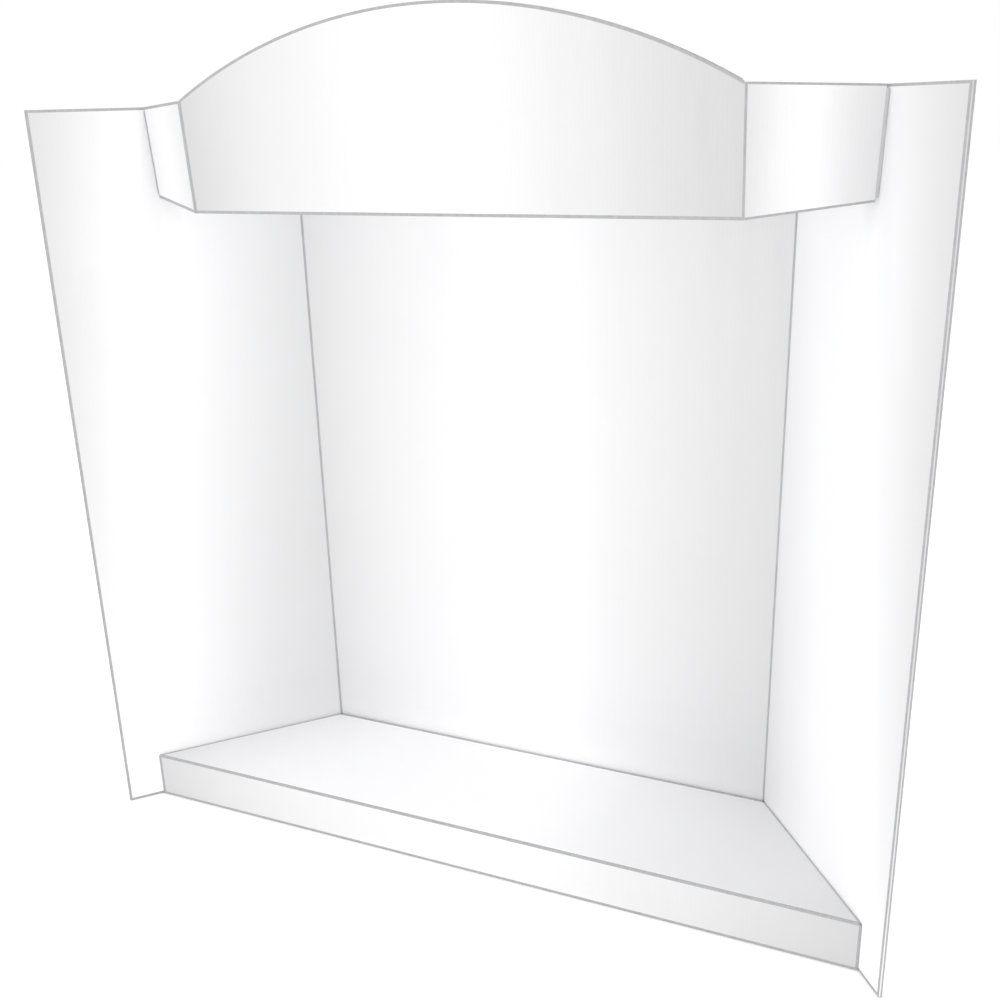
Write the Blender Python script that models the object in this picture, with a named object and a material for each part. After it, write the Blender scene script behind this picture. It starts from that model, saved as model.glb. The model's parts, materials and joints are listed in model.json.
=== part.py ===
"""Free-standing counter display folded from 4 mm fluted plastic board.

A three-panel surround (a back panel with a splayed wing on each side) stands on the table.
An arched header panel spans its front at the top, leaning a little forward. A flap runs back from
each end of the header to a wing, where a flange carries hook coins that grip loop coins on the
wing. A trapezoid riser tray fills the foot of the surround; its rear skirt is held to the back
panel by two more pairs of coins.

The frame has +Z up and +X to the right seen from the front. The front faces -Y. The origin is the
centre of the footprint at table level.
"""

import math

import bmesh
import bpy
from mathutils import Matrix, Vector

# Driving dimensions, in metres and radians.
BOARD = 0.004  # thickness of the fluted board
HEIGHT = 0.864  # back panel and wings
BACK_WIDTH = 0.610  # between the creases, on the inner face
WING_WIDTH = 0.303
WING_SPLAY = math.radians(52)  # how far each wing is folded forward out of the back panel's plane

HEADER_DEPTH = 0.199  # back panel's inner face to the header's lower edge
HEADER_LEAN = math.radians(4)  # top of the header forward of its lower edge
HEADER_DROP = 0.1093  # header's lower edge below the top of the wings
HEADER_SIDE = 0.1141  # header's height at its ends
ARCH_RISE = 0.0785
ARCH_SEGMENTS = 48
FLAP_FOOT = 0.1755  # along the top of the wing, from its crease to the flap
FLAP_DROP = 0.0976  # lower corner of the flap at the wing, below the top of the wing
FLANGE_LENGTH = 0.028
FLANGE_MARGIN = 0.004  # flange's ends inside the flap's

TRAY_DEPTH = 0.204  # back panel's inner face to the tray's front face
TRAY_HEIGHT = 0.0582
TRAY_SIDE_GAP = 0.0006  # tray to wing
EAR_LENGTH = 0.045

# Creases: the wings fold on a crushed flute, the other edges on a V cut that leaves one liner.
CRUSHED_HALF = 0.002
CRUSHED_THICKNESS = 0.001
SCORED_HALF = 0.0015
LINER = 0.0006
SCORE_ANGLE = math.radians(45)
FLANGE_SCORE_ANGLE = math.radians(49)

# Hook-and-loop coins
COIN_RADIUS = 0.010
COIN_THICKNESS = 0.0008
COIN_FACE_GAP = 0.0003  # between a hook coin and its loop coin
GLUE_GAP = 0.0001  # between a coin and its board
COIN_SEGMENTS = 40
REAR_COIN_X = 0.200
REAR_COIN_Z = 0.028
FLANGE_COIN_HEIGHTS = {"upper": 0.072, "lower": 0.026}  # above the flap's lower corner

GAP = 0.0003  # between neighbouring boards
CUTTER = 0.030

# Derived sizes
STANDOFF = 2 * (GLUE_GAP + COIN_THICKNESS) + COIN_FACE_GAP
BACK_Y = (WING_WIDTH * math.sin(WING_SPLAY) - BOARD) / 2  # inner face; centres the footprint
TRAY_FRONT_Y = BACK_Y - TRAY_DEPTH

WHITE = (0.88, 0.88, 0.89, 1.0)
CREASE_GREY = (0.72, 0.72, 0.73, 1.0)
FASTENER_WHITE = (0.80, 0.80, 0.79, 1.0)

SIDES = {"left": -1, "right": 1}


def clear_scene():
    for thing in list(bpy.data.objects):
        bpy.data.objects.remove(thing, do_unlink=True)


def new_collection(name):
    collection = bpy.data.collections.new(name)
    bpy.context.scene.collection.children.link(collection)
    return collection


def add_material(piece, colour, roughness):
    material = bpy.data.materials.new(f"{piece.name}_material")
    material.use_nodes = True
    shader = material.node_tree.nodes["Principled BSDF"]
    shader.inputs["Base Color"].default_value = colour
    shader.inputs["Roughness"].default_value = roughness
    shader.inputs["Metallic"].default_value = 0.0
    piece.data.materials.append(material)


def pivot(name, place, parent=None):
    """An empty on a fold line, slide or board, which the pieces there hang from."""
    empty = bpy.data.objects.new(name, None)
    empty.matrix_basis = place
    empty.empty_display_size = 0.05
    PARTS.objects.link(empty)
    attach(empty, parent)
    return empty


def at(x, y, z):
    return Matrix.Translation((x, y, z))


def turned(angle, axis="Z"):
    return Matrix.Rotation(angle, 4, axis)


def attach(piece, parent):
    if parent is not None:
        piece.parent = parent


def solid_outline(name, outline, thickness, matrix, colour, parent, roughness=0.35):
    """The outline, drawn in the matrix's XY plane, made into a board from Z = 0 to the thickness."""
    curve = bpy.data.curves.new(name, "CURVE")
    curve.dimensions = "2D"
    curve.fill_mode = "BOTH"
    curve.extrude = thickness / 2
    spline = curve.splines.new("POLY")
    spline.points.add(len(outline) - 1)
    for point, (x, y) in zip(spline.points, outline):
        point.co = (x, y, 0.0, 1.0)
    spline.use_cyclic_u = True
    drawn = bpy.data.objects.new(f"{name}_outline", curve)
    PARTS.objects.link(drawn)
    evaluated = drawn.evaluated_get(bpy.context.evaluated_depsgraph_get())
    mesh = bpy.data.meshes.new_from_object(evaluated)
    bpy.data.objects.remove(drawn, do_unlink=True)
    weld(mesh)
    mesh.transform(matrix @ Matrix.Translation((0.0, 0.0, thickness / 2)))
    mesh.materials.clear()
    mesh.name = name
    piece = bpy.data.objects.new(name, mesh)
    PARTS.objects.link(piece)
    attach(piece, parent)
    add_material(piece, colour, roughness)
    return piece


def weld(mesh):
    """Join the caps of an extruded outline to its sides."""
    shape = bmesh.new()
    shape.from_mesh(mesh)
    bmesh.ops.remove_doubles(shape, verts=shape.verts, dist=0.00001)
    bmesh.ops.recalc_face_normals(shape, faces=shape.faces)
    shape.to_mesh(mesh)
    shape.free()


def upright(name, plan, bottom, top, parent=None, colour=WHITE):
    """A standing board: its plan view, taken from one height to another."""
    return solid_outline(
        name, plan, top - bottom, Matrix.Translation((0.0, 0.0, bottom)), colour, parent
    )


def facing(name, outline, parent):
    """A board drawn in front view (X across, Z up) whose visible face is at Y = 0, facing -Y."""
    view = turned(math.radians(90), "X") @ at(0.0, 0.0, -BOARD)
    return solid_outline(name, outline, BOARD, view, WHITE, parent)


def score(piece, start, end, inward, outward, angle, parent=None):
    """Bevel a board's edge back from a fold line on its visible face.

    The line runs from start to end, inward points into the board along its face and outward is the
    face's normal. The cut leans by the angle from that normal and clears the line by half a gap.
    """
    along = (Vector(end) - Vector(start)).normalized()
    inward, outward = Vector(inward), Vector(outward)
    lean = inward * math.sin(angle) - outward * math.cos(angle)
    away = -inward * math.cos(angle) - outward * math.sin(angle)
    middle = (Vector(start) + Vector(end)) / 2 + inward * (GAP / 2 / math.cos(angle))
    length = (Vector(end) - Vector(start)).length + CUTTER
    bpy.ops.mesh.primitive_cube_add(size=1.0)
    cutter = bpy.context.object
    cutter.name = f"{piece.name}_score_{len(piece.modifiers)}"
    centre = middle + away * CUTTER / 2
    turn = Matrix((along, lean, away)).transposed().to_4x4()
    size = Matrix.Diagonal((length, CUTTER, CUTTER, 1.0))
    cutter.data.transform(Matrix.Translation(centre) @ turn @ size)
    if turn.determinant() < 0:
        cutter.data.flip_normals()
    attach(cutter, parent)
    cutter.hide_render = True
    cutter.display_type = "WIRE"
    for holder in list(cutter.users_collection):
        holder.objects.unlink(cutter)
    CUTTERS.objects.link(cutter)
    cut = piece.modifiers.new("Score", "BOOLEAN")
    cut.operation = "DIFFERENCE"
    cut.solver = "EXACT"
    cut.object = cutter


def crease(name, start, end, towards, normals, half, thickness, parent=None):
    """The bent strip left along a fold line: two legs, one flush with each board's visible face."""
    start, end = Vector(start), Vector(end)
    axis = (end - start).normalized()
    first, second = (Vector(v).normalized() for v in towards)
    normal_a, normal_b = (Vector(v).normalized() for v in normals)
    across = axis.cross(first).normalized()
    inner = -(normal_a + normal_b) * thickness / (1 + normal_a.dot(normal_b))
    leg = half - GAP
    corners = (
        first * leg,
        Vector((0.0, 0.0, 0.0)),
        second * leg,
        second * leg - normal_b * thickness,
        inner,
        first * leg - normal_a * thickness,
    )
    outline = [(corner.dot(first), corner.dot(across)) for corner in corners]
    turn = Matrix((first, across, axis)).transposed().to_4x4()
    matrix = Matrix.Translation(start) @ turn
    return solid_outline(name, outline, (end - start).length, matrix, CREASE_GREY, parent, 0.5)


def coin(name, across, height, parent):
    """A fastener disc glued to the face of a board at Y = 0 in its parent's frame."""
    bpy.ops.mesh.primitive_cylinder_add(
        vertices=COIN_SEGMENTS, radius=COIN_RADIUS, depth=COIN_THICKNESS
    )
    disc = bpy.context.object
    disc.name = name
    disc.data.name = name
    disc.data.transform(Matrix.Rotation(math.radians(90), 4, "X"))
    for holder in list(disc.users_collection):
        holder.objects.unlink(disc)
    PARTS.objects.link(disc)
    attach(disc, parent)
    disc.location = (across, -GLUE_GAP - COIN_THICKNESS / 2, height)
    disc.data.shade_smooth()
    disc.data.set_sharp_from_angle(angle=math.radians(40))
    add_material(disc, FASTENER_WHITE, 0.9)


def rectangle(x0, x1, y0, y1):
    return [(x0, y0), (x1, y0), (x1, y1), (x0, y1)]


# Surround


def build_back():
    half = BACK_WIDTH / 2 - CRUSHED_HALF
    upright("back_panel", rectangle(-half, half, BACK_Y, BACK_Y + BOARD), 0.0, HEIGHT)
    for label, side in (("left", -1), ("right", 1)):
        holder = pivot(f"back_{label}_coin_place", at(side * REAR_COIN_X, BACK_Y, 0.0))
        coin(f"back_{label}_loop_coin", 0.0, REAR_COIN_Z, holder)


def wing_place(side):
    """The wing's frame: its crease is the Z axis, and its inner face is at Y = 0, facing -Y."""
    return at(side * BACK_WIDTH / 2, BACK_Y, 0.0) @ turned(-side * WING_SPLAY)


def wing_vector(side):
    """Along the wing, from its crease to its free edge."""
    return Vector((side * math.cos(WING_SPLAY), -math.sin(WING_SPLAY), 0.0))


def wing_normal(side):
    """Out of the wing's inner face."""
    return Vector((-side * math.sin(WING_SPLAY), -math.cos(WING_SPLAY), 0.0))


def build_wing(label, side):
    fold = pivot(f"{label}_wing_fold", wing_place(side))
    near, far = sorted((side * CRUSHED_HALF, side * WING_WIDTH))
    upright(f"{label}_wing_panel", rectangle(near, far, 0.0, BOARD), 0.0, HEIGHT, fold)
    for place, height in FLANGE_COIN_HEIGHTS.items():
        centre = wing_place(side).inverted() @ flange_place(side) @ flange_coin(side, height)
        coin(f"{label}_wing_{place}_loop_coin", centre.x, centre.z, fold)
    line = Vector((side * BACK_WIDTH / 2, BACK_Y, 0.0))
    crease(
        f"{label}_wing_crease",
        line + Vector((0.0, 0.0, GAP)),
        line + Vector((0.0, 0.0, HEIGHT - GAP)),
        ((-side, 0.0, 0.0), wing_vector(side)),
        ((0.0, -1.0, 0.0), wing_normal(side)),
        CRUSHED_HALF,
        CRUSHED_THICKNESS,
    )


# Header


def header_place():
    """The header's frame: its lower edge is the X axis, and its front face is at Y = 0."""
    low = at(0.0, BACK_Y - HEADER_DEPTH, HEIGHT - HEADER_DROP)
    return low @ turned(HEADER_LEAN, "X")


def flap_place(side):
    """The flap's frame: its fold is the Z axis, and its front face is at Y = 0, facing -Y.

    The flap is turned back from the header until it meets the wing, less the coins' thickness.
    """
    top = header_place().inverted() @ wing_place(side) @ flap_top(side)
    back = math.atan2(top.y, abs(top.x) - BACK_WIDTH / 2)
    return header_place() @ at(side * BACK_WIDTH / 2, 0.0, 0.0) @ turned(side * back)


def flap_top(side):
    """The flap's top corner at the wing, in the wing's frame."""
    return Vector((side * FLAP_FOOT, -STANDOFF, HEIGHT))


def flap_foot(side):
    """Lower and upper ends of the flap's edge at the wing, in the flap's frame."""
    into_flap = flap_place(side).inverted() @ wing_place(side)
    top = into_flap @ flap_top(side)
    wing_out = into_flap.to_3x3() @ Vector((0.0, -1.0, 0.0))
    upward = Vector((-wing_out.z / wing_out.x, 0.0, 1.0))
    climb = (flap_place(side).to_3x3() @ upward).z
    return top - upward * (FLAP_DROP / climb), top


def foot_place(side):
    """The flap's edge at the wing as the Z axis, with the flap still at Y = 0."""
    low, top = flap_foot(side)
    tilt = math.atan2(top.x - low.x, top.z - low.z)
    return flap_place(side) @ Matrix.Translation(low) @ turned(tilt, "Y")


def flange_turn(side):
    """How far the flange is folded round from the flap to lie along the wing."""
    to_wing = foot_place(side).inverted().to_3x3() @ wing_normal(side)
    return math.atan2(-side * to_wing.x, to_wing.y)


def flange_place(side):
    """The flange's frame: its fold is the Z axis, and its face towards the wing is at Y = 0."""
    return foot_place(side) @ turned(side * flange_turn(side))


def flange_coin(side, height):
    """Centre of a coin on the flange, in the flange's frame."""
    return Vector((side * (FLANGE_LENGTH + SCORED_HALF) / 2, 0.0, height))


def arch_height(x):
    """Height of the arch above its springing: a circle through both corners and the crown."""
    radius = (BACK_WIDTH**2 / 4 + ARCH_RISE**2) / (2 * ARCH_RISE)
    return math.sqrt(radius**2 - x**2) - (radius - ARCH_RISE)


def build_header(lift):
    half = BACK_WIDTH / 2 - SCORED_HALF
    steps = [half * (1 - 2 * i / ARCH_SEGMENTS) for i in range(ARCH_SEGMENTS + 1)]
    outline = [(-half, 0.0), (half, 0.0)] + [(x, HEADER_SIDE + arch_height(x)) for x in steps]
    panel = facing("header_panel", outline, lift)
    for side in SIDES.values():
        edge = side * BACK_WIDTH / 2
        score(
            panel, (edge, 0.0, 0.0), (edge, 0.0, HEADER_SIDE),
            (-side, 0.0, 0.0), (0.0, -1.0, 0.0), SCORE_ANGLE, lift,
        )


def build_flap(label, side, lift):
    edge = side * BACK_WIDTH / 2
    turn = header_place().inverted() @ flap_place(side)
    fold = pivot(f"{label}_flap_fold", turn, lift)
    outline = []
    for corner, foot in zip((Vector(), Vector((0.0, 0.0, HEADER_SIDE))), flap_foot(side)):
        share = SCORED_HALF / abs(foot.x)
        outline.append([(p.x, p.z) for p in (corner.lerp(foot, share), foot.lerp(corner, share))])
    flap = facing(f"header_{label}_flap", outline[0] + outline[1][::-1], fold)
    score(
        flap, (0.0, 0.0, 0.0), (0.0, 0.0, HEADER_SIDE),
        (side, 0.0, 0.0), (0.0, -1.0, 0.0), SCORE_ANGLE, fold,
    )
    turn = turn.to_3x3()
    crease(
        f"header_{label}_crease", (edge, 0.0, GAP), (edge, 0.0, HEADER_SIDE - GAP),
        ((-side, 0.0, 0.0), turn @ Vector((side, 0.0, 0.0))),
        ((0.0, -1.0, 0.0), turn @ Vector((0.0, -1.0, 0.0))), SCORED_HALF, LINER, lift,
    )
    foot = pivot(f"{label}_flap_foot", flap_place(side).inverted() @ foot_place(side), fold)
    build_flange(label, side, flap, foot)


def build_flange(label, side, flap, foot):
    """The flange turned back along the wing, with its crease and hook coins."""
    low, top = flap_foot(side)
    length = (top - low).length
    score(
        flap, (0.0, 0.0, 0.0), (0.0, 0.0, length),
        (-side, 0.0, 0.0), (0.0, -1.0, 0.0), FLANGE_SCORE_ANGLE, foot,
    )
    turn = turned(side * flange_turn(side))
    place = pivot(f"{label}_flange_place", turn, foot)
    near, far = side * SCORED_HALF, side * FLANGE_LENGTH
    outline = rectangle(near, far, FLANGE_MARGIN, length - FLANGE_MARGIN)
    flange = facing(f"{label}_flange", outline, place)
    score(
        flange, (0.0, 0.0, 0.0), (0.0, 0.0, length),
        (side, 0.0, 0.0), (0.0, -1.0, 0.0), FLANGE_SCORE_ANGLE, place,
    )
    for name, height in FLANGE_COIN_HEIGHTS.items():
        centre = flange_coin(side, height)
        coin(f"{label}_flange_{name}_hook_coin", centre.x, centre.z, place)
    turn = turn.to_3x3()
    crease(
        f"{label}_flange_crease", (0.0, 0.0, FLANGE_MARGIN), (0.0, 0.0, length - FLANGE_MARGIN),
        ((-side, 0.0, 0.0), turn @ Vector((side, 0.0, 0.0))),
        ((0.0, -1.0, 0.0), turn @ Vector((0.0, -1.0, 0.0))), SCORED_HALF, LINER, foot,
    )


# Riser tray, in plan: depth is measured forward from the back panel's inner face


def tray_half(depth):
    """Half the tray's width at a depth."""
    spread = depth / math.tan(WING_SPLAY)
    return BACK_WIDTH / 2 + spread - TRAY_SIDE_GAP / math.sin(WING_SPLAY)


def plan_quad(near, far, inset_out, inset_in, side):
    """A strip of plan between two depths and two insets from the tray's side, on one side."""
    return [
        (side * (tray_half(near) - inset_out), BACK_Y - near),
        (side * (tray_half(far) - inset_out), BACK_Y - far),
        (side * (tray_half(far) - inset_in), BACK_Y - far),
        (side * (tray_half(near) - inset_in), BACK_Y - near),
    ]


def plan_band(near, far):
    """The tray's whole width between two depths."""
    return [
        (-tray_half(near), BACK_Y - near),
        (-tray_half(far), BACK_Y - far),
        (tray_half(far), BACK_Y - far),
        (tray_half(near), BACK_Y - near),
    ]


def tray_edges():
    """Each deck edge: its name, its two ends on the deck's top and the way out of the tray."""
    rear, front = STANDOFF, TRAY_DEPTH
    corner = {
        (side, depth): Vector((side * tray_half(depth), BACK_Y - depth, TRAY_HEIGHT))
        for side in (-1, 1)
        for depth in (rear, front)
    }
    sine, cosine = math.sin(WING_SPLAY), math.cos(WING_SPLAY)
    return (
        ("front", corner[-1, front], corner[1, front], Vector((0.0, -1.0, 0.0))),
        ("rear", corner[1, rear], corner[-1, rear], Vector((0.0, 1.0, 0.0))),
        ("left", corner[-1, rear], corner[-1, front], Vector((-sine, cosine, 0.0))),
        ("right", corner[1, front], corner[1, rear], Vector((sine, cosine, 0.0))),
    )


def build_deck(slide):
    slant = SCORED_HALF / math.sin(WING_SPLAY)
    near, far = STANDOFF + SCORED_HALF, TRAY_DEPTH - SCORED_HALF
    plan = [(x - math.copysign(slant, x), y) for x, y in plan_band(near, far)]
    deck = upright("tray_deck", plan, TRAY_HEIGHT - BOARD, TRAY_HEIGHT, slide)
    for _, start, end, out in tray_edges():
        score(deck, start, end, -out, (0.0, 0.0, 1.0), SCORE_ANGLE, slide)


def build_skirts(slide, front_fold):
    """The four skirts under the deck's edges and the creases that join them to it."""
    slant = BOARD / math.sin(WING_SPLAY)
    rear_end, front_end = STANDOFF + BOARD + GAP, TRAY_DEPTH - BOARD - GAP
    plans = {
        "front": plan_band(TRAY_DEPTH - BOARD, TRAY_DEPTH),
        "rear": plan_band(STANDOFF, STANDOFF + BOARD),
        "left": plan_quad(rear_end, front_end, 0.0, slant, -1),
        "right": plan_quad(rear_end, front_end, 0.0, slant, 1),
    }
    for name, start, end, out in tray_edges():
        parent = front_fold if name == "front" else slide
        top = TRAY_HEIGHT - SCORED_HALF
        skirt = upright(f"tray_{name}_skirt", shifted(plans[name], parent), 0.0, top, parent)
        if parent is front_fold:
            skirt.data.transform(Matrix.Translation((0.0, 0.0, -TRAY_HEIGHT)))
        move = Vector((0.0, -parent.location.y, -parent.location.z))
        score(skirt, start + move, end + move, (0.0, 0.0, -1.0), out, SCORE_ANGLE, parent)
        along = (end - start).normalized() * BOARD
        crease(
            f"tray_{name}_crease", start + along, end - along,
            (-out, (0.0, 0.0, -1.0)), ((0.0, 0.0, 1.0), out), SCORED_HALF, LINER, slide,
        )


def shifted(plan, parent):
    """A plan moved into its parent's frame."""
    return [(x, y - parent.location.y) for x, y in plan]


def build_ears(slide):
    """Glue ears turned in from the ends of the side skirts, behind the front and rear skirts."""
    inner = (BOARD + GAP) / math.sin(WING_SPLAY)
    rear, front = STANDOFF + BOARD + GAP, TRAY_DEPTH - BOARD - GAP
    for label, side in SIDES.items():
        for place, near, far in (("rear", rear, rear + BOARD), ("front", front - BOARD, front)):
            plan = plan_quad(near, far, inner, inner + EAR_LENGTH, side)
            top = TRAY_HEIGHT - BOARD - GAP
            upright(f"tray_{place}_{label}_ear", plan, BOARD, top, slide)


def build_tray_coins(slide):
    for label, side in SIDES.items():
        face = at(side * REAR_COIN_X, BACK_Y - STANDOFF, 0.0) @ turned(math.pi)
        place = pivot(f"tray_{label}_coin_place", face, slide)
        coin(f"tray_{label}_hook_coin", 0.0, REAR_COIN_Z, place)


def build_tray():
    slide = pivot("tray_slide", Matrix())
    front_fold = pivot("front_skirt_fold", at(0.0, TRAY_FRONT_Y, TRAY_HEIGHT), slide)
    build_deck(slide)
    build_skirts(slide, front_fold)
    build_ears(slide)
    build_tray_coins(slide)


clear_scene()
PARTS = new_collection("folding_counter_display")
CUTTERS = new_collection("cutters")
build_back()
LIFT = pivot("header_lift", header_place())
build_header(LIFT)
for LABEL, SIDE in SIDES.items():
    build_wing(LABEL, SIDE)
    build_flap(LABEL, SIDE, LIFT)
build_tray()
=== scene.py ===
import json
import math

import bmesh
import bpy
from mathutils import Matrix, Vector


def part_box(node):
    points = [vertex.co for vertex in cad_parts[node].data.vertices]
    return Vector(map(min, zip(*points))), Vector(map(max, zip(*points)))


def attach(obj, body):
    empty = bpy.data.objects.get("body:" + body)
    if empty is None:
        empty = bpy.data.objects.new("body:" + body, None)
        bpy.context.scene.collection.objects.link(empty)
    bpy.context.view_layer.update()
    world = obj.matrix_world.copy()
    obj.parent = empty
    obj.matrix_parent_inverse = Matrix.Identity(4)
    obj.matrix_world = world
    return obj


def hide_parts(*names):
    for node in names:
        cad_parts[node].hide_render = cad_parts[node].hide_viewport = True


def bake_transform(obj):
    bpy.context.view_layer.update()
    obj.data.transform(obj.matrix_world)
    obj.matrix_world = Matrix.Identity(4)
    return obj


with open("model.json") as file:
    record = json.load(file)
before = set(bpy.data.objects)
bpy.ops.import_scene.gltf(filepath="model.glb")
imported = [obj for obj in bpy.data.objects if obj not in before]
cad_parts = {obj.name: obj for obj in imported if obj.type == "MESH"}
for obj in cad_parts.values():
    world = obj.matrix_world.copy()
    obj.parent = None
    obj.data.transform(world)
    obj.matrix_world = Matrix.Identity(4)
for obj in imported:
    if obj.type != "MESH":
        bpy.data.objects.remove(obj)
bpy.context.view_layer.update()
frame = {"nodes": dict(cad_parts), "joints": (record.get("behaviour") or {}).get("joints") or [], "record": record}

MM = 0.001

# What the frame says, in metres and radians.
JOINTS = {joint["name"]: joint for joint in frame["joints"]}
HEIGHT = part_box("back_panel")[1].z
BACK_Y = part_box("back_panel")[0].y  # the back panel's inner face
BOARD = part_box("back_panel")[1].y - BACK_Y
HALF_BACK = JOINTS["right_wing_fold"]["pos_m"][0]
SPLAY = math.radians(JOINTS["right_wing_fold"]["range_deg"][1])
TRAY_DEPTH = BACK_Y - JOINTS["front_skirt_fold"]["pos_m"][1]
TRAY_HEIGHT = JOINTS["front_skirt_fold"]["pos_m"][2]
HEADER_FOOT = Vector(JOINTS["right_flap_fold"]["pos_m"])  # the header's lower right corner
HEADER_UP = Vector(JOINTS["right_flap_fold"]["axis"])  # up the leaning header
HEADER_FACE = Vector((0.0, -HEADER_UP.z, HEADER_UP.y))  # out of its front
COIN_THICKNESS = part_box("back_left_loop_coin")[1].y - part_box("back_left_loop_coin")[0].y
STANDOFF = BACK_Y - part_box("tray_rear_skirt")[1].y

# Driving dimensions that the frame's boxes don't give directly, as the CAD has them.
WING_WIDTH = 303 * MM
HEADER_SIDE = 114.1 * MM  # the header's height at its ends
ARCH_RISE = 78.5 * MM
FLAP_FOOT = 175.5 * MM  # along the top of the wing, from its crease to the flap
FLAP_DROP = 97.6 * MM  # flap's lower corner at the wing, below the top of the wing
FLANGE_LENGTH = 28 * MM
FLANGE_MARGIN = 4 * MM
TRAY_SIDE_GAP = 0.6 * MM
EAR_LENGTH = 45 * MM
CRUSHED_HALF = 2 * MM
SCORED_HALF = 1.5 * MM
SCORE_LEAN = 1.0  # tangent of the V cut's half angle
GAP = 0.3 * MM

# The twin-wall board itself.
LINER = 0.35 * MM
WEB = 0.22 * MM
FLUTE_PITCH = 4.2 * MM
RIM = 2.8 * MM  # band along a die-cut edge that the knife presses down, on the hidden face
RIM_SINK = 0.18 * MM
EDGE_WEB = 0.6 * MM  # last web of a wing to its free edge
WEB_CLEARANCE = 0.25 * MM  # ends of the webs inside the rear skin's edge
BEAD_WIDTH = 0.45 * MM
BEAD_DEPTH = 1.3 * MM

# Creases. A crushed crease's section is (share of the half width, depth) pairs.
GROOVE_HALF = 1.6 * MM
GROOVE_FRONT = ((0.5, 0.22 * MM),)
GROOVE_DEPTH = 0.3 * MM
VALLEY_BACK = ((1.0, BOARD), (0.8, 3.1 * MM), (0.45, 1.5 * MM))
VALLEY_DEPTH = 1.05 * MM  # skin left in front of the valley's root
CORNER_SOFT = 0.4 * MM  # where a V-cut corner starts to round
CORNER_PULL = 0.27  # how far the rounded corner reaches towards the sharp one
# A rolled fold's section is (share of the half width, share of the roll) pairs on its two sides.
ROLL_NEAR = ((1.0, 0.3), (0.8, 0.9))
ROLL_FAR = ((0.5, 0.92), (0.9, 0.5))
HINGE_END = 2 * MM  # a tray crease stops this far from the tray's corner

# Coins, curves and floor.
ARCH_STEPS = 64
COIN_RADIUS = 10 * MM
COIN_SPOKES = 48
HOOK_ROWS = 9  # on each side of the coin's middle
HOOK_PITCH = 1.05 * MM
HOOK_FREE_EDGE = 0.9 * MM
HOOK_HALF = 0.14 * MM  # of a hook's thickness
HOOK_HEIGHT = 0.53  # share of the coin's thickness
# A hook from the side: (millimetres towards its lean, share of its height) pairs.
HOOK_SECTION = ((-0.16, 0.0), (0.16, 0.0), (0.14, 0.55), (0.42, 0.6), (0.36, 1.0), (-0.12, 1.0))
FILM_SHARE = 0.45  # of a hook coin's thickness
LOOP_RINGS = 22
LOOP_SPOKES = 72
NAP_DEPTH = 0.22  # share of the coin's thickness
FLOOR_SIZE = 40.0
FLOOR_DROP = 0.3 * MM  # floor below the boards' lower edges

Z = Vector((0.0, 0.0, 1.0))
MIDDLE = Vector((0.0, 0.0, 0.0))
RIGHTWARD = Vector((1.0, 0.0, 0.0))
SIDES = (("left", -1), ("right", 1))
pieces = {}


# ---------------------------------------------------------------- materials


def node_tree(name):
    material = bpy.data.materials.new(name)
    material.use_nodes = True
    tree = material.node_tree
    return material, tree, tree.nodes["Principled BSDF"]


def add(tree, kind, **settings):
    node = tree.nodes.new(kind)
    for key, value in settings.items():
        setattr(node, key, value)
    return node


def maths(tree, operation, first, second=None, third=None):
    node = add(tree, "ShaderNodeMath", operation=operation)
    for socket, value in zip(node.inputs, (first, second, third)):
        if value is None:
            continue
        if isinstance(value, (int, float)):
            socket.default_value = value
        else:
            tree.links.new(value, socket)
    return node.outputs[0]


def place_along(tree, origin, direction):
    """Distance along a direction from an origin, in the board's own rest coordinates."""
    where = add(tree, "ShaderNodeTexCoord").outputs["Object"]
    away = add(tree, "ShaderNodeVectorMath", operation="SUBTRACT")
    tree.links.new(where, away.inputs[0])
    away.inputs[1].default_value = origin
    dot = add(tree, "ShaderNodeVectorMath", operation="DOT_PRODUCT")
    tree.links.new(away.outputs[0], dot.inputs[0])
    dot.inputs[1].default_value = direction
    return dot.outputs["Value"]


def noise(tree, scale, detail, stretch=(1.0, 1.0, 1.0)):
    where = add(tree, "ShaderNodeTexCoord").outputs["Object"]
    mapping = add(tree, "ShaderNodeMapping")
    mapping.inputs["Scale"].default_value = stretch
    tree.links.new(where, mapping.inputs["Vector"])
    node = add(tree, "ShaderNodeTexNoise")
    node.inputs["Scale"].default_value = scale
    node.inputs["Detail"].default_value = detail
    tree.links.new(mapping.outputs[0], node.inputs["Vector"])
    return node.outputs["Fac"]


def span(tree, value, low, high, to_low, to_high):
    node = add(tree, "ShaderNodeMapRange", interpolation_type="SMOOTHSTEP")
    tree.links.new(value, node.inputs["Value"])
    for socket, number in zip(
        ("From Min", "From Max", "To Min", "To Max"), (low, high, to_low, to_high)
    ):
        node.inputs[socket].default_value = number
    return node.outputs[0]


def shade_along(tree, origin, direction, stops):
    """Painted shade that changes along a direction: stops are (millimetres, share of white) pairs."""
    first, last = stops[0][0], stops[-1][0]
    ramp = add(tree, "ShaderNodeValToRGB")
    elements = ramp.color_ramp.elements
    while len(elements) < len(stops):
        elements.new(0.5)
    for element, (place, level) in zip(elements, stops):
        element.position = (place - first) / (last - first)
        element.color = (level, level, level, 1.0)
    along = maths(tree, "SUBTRACT", place_along(tree, origin, direction), first * MM)
    along = maths(tree, "DIVIDE", along, (last - first) * MM)
    tree.links.new(along, ramp.inputs[0])
    return ramp.outputs[0]


def paint(tree, shader, level, colour):
    """Base colour: a share of a plain colour, from black at 0."""
    mix = add(tree, "ShaderNodeMix", data_type="RGBA", clamp_factor=False)
    mix.inputs["A"].default_value = (0.0, 0.0, 0.0, 1.0)
    mix.inputs["B"].default_value = (*colour, 1.0)
    tree.links.new(level, mix.inputs["Factor"])
    tree.links.new(mix.outputs["Result"], shader.inputs["Base Color"])


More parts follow.
